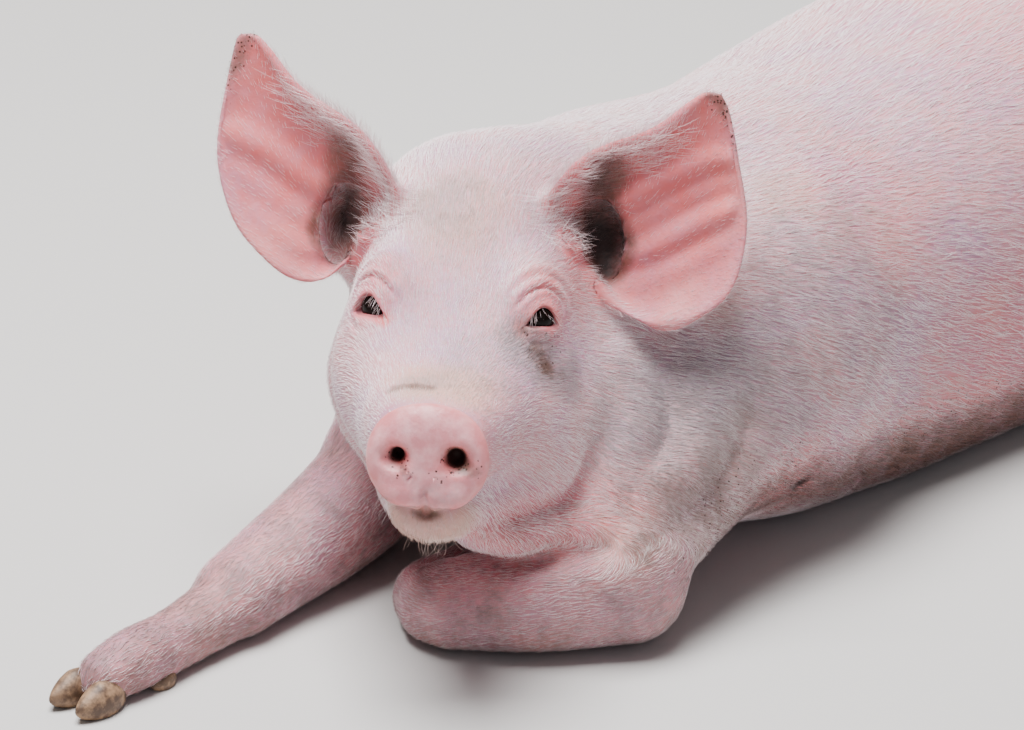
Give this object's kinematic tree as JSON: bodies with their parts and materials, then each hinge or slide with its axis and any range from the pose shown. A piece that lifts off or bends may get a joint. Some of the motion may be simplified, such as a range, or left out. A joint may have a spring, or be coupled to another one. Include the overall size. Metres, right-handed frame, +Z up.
{
  "type": "pig",
  "caption": "Life-size still model of a young white domestic pig lying on its chest, head raised and turned left, right foreleg stretched forward.",
  "frame": {"origin": "on the floor under the middle of the belly, midway between the flanks", "axes": "-Y towards the head end, +X to the pig's left, +Z up from the floor it lies on"},
  "size_m": [0.408, 1.1823, 0.3343],
  "materials": {
    "skin": "dull pink skin under a thin coat of white bristles",
    "ear_skin": "thin pink skin, nearly bare inside",
    "snout_skin": "bare, slightly moist pink skin",
    "horn": "dull horn",
    "eye": "wet gloss, dark brown"
  },
  "bodies": {
    "root": {"belly": "skin", "chest": "skin", "neck": "skin", "rump": "skin", "head": "skin", "jaw": "skin", "snout": "snout_skin", "tail": "skin", "thigh_left": "skin", "thigh_right": "skin", "shank_left": "skin", "shank_right": "skin", "hindfoot_left": "skin", "hindfoot_right": "skin", "forearm_left": "skin", "forearm_right": "skin", "forefoot_left": "skin", "forefoot_right": "skin", "ear_left": "ear_skin", "ear_right": "ear_skin", "eye_left": "eye", "eye_right": "eye", "forefoot_left_claw_outer": "horn", "forefoot_left_claw_inner": "horn", "forefoot_right_claw_outer": "horn", "forefoot_right_claw_inner": "horn", "hindfoot_left_claw_outer": "horn", "hindfoot_left_claw_inner": "horn", "hindfoot_right_claw_outer": "horn", "hindfoot_right_claw_inner": "horn"}
  },
  "joints": []
}
